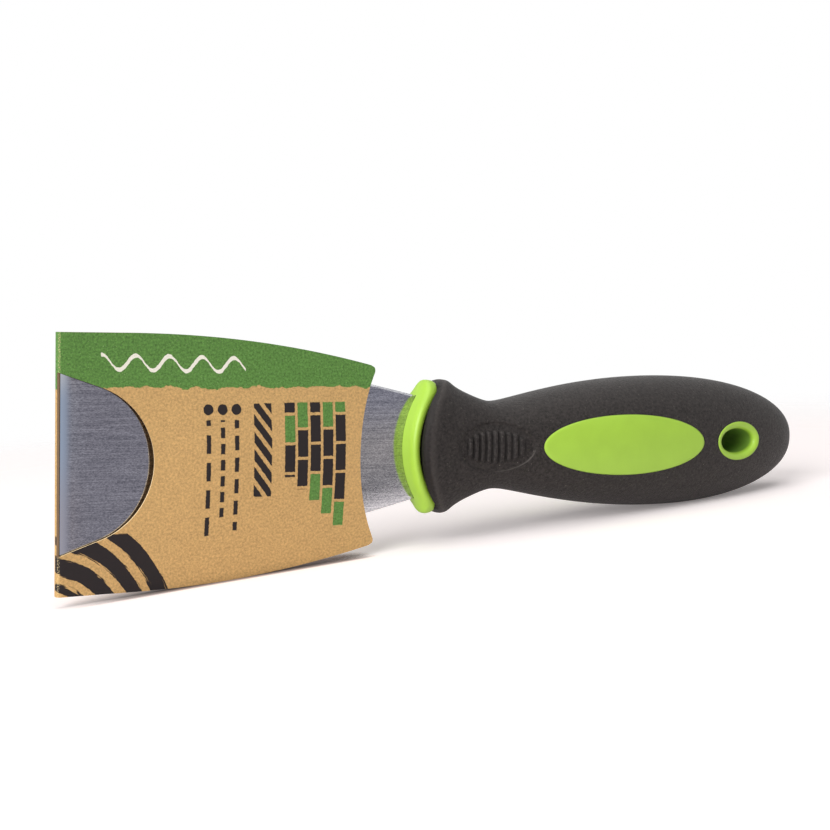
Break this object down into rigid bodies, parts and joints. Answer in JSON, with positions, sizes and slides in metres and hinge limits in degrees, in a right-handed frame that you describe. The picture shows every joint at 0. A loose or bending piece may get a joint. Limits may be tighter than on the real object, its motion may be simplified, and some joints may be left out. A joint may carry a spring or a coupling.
{
  "type": "flexible putty knife",
  "caption": "Flexible putty knife: thin steel blade with a ground edge in an arched collar, a soft grip over a hard core with a hang hole, and a folded card sleeve with a half-moon window.",
  "frame": {"origin": "middle of the underside of the bounding box, under the knife's mid length", "axes": "+X from the working edge along the knife to the handle's end, +Y from the front face through the knife to its back, +Z across the blade's width"},
  "size_m": [0.1992, 0.0248, 0.0534],
  "materials": {
    "steel": "brushed along the blade, polished at the bevel",
    "core_plastic": "satin moulded plastic, lime green",
    "soft_grip": "fine matt texture",
    "card": "uncoated kraft card"
  },
  "bodies": {
    "knife": {"blade": "steel", "handle_core": "core_plastic", "grip": "soft_grip"},
    "sleeve": {"sleeve_back": "card"},
    "front_panel": {"sleeve_front": "card"}
  },
  "joints": [
    {"name": "sleeve_slide", "type": "slide", "parent": "knife", "child": "sleeve", "axis": [-1, 0, 0], "range_m": [0, 0.085]},
    {"name": "panel_fold", "type": "hinge", "parent": "sleeve", "child": "front_panel", "pos_m": [-0.0996, -0.0011, 0.0267], "axis": [0, 0, -1], "range_deg": [0, 165]}
  ]
}
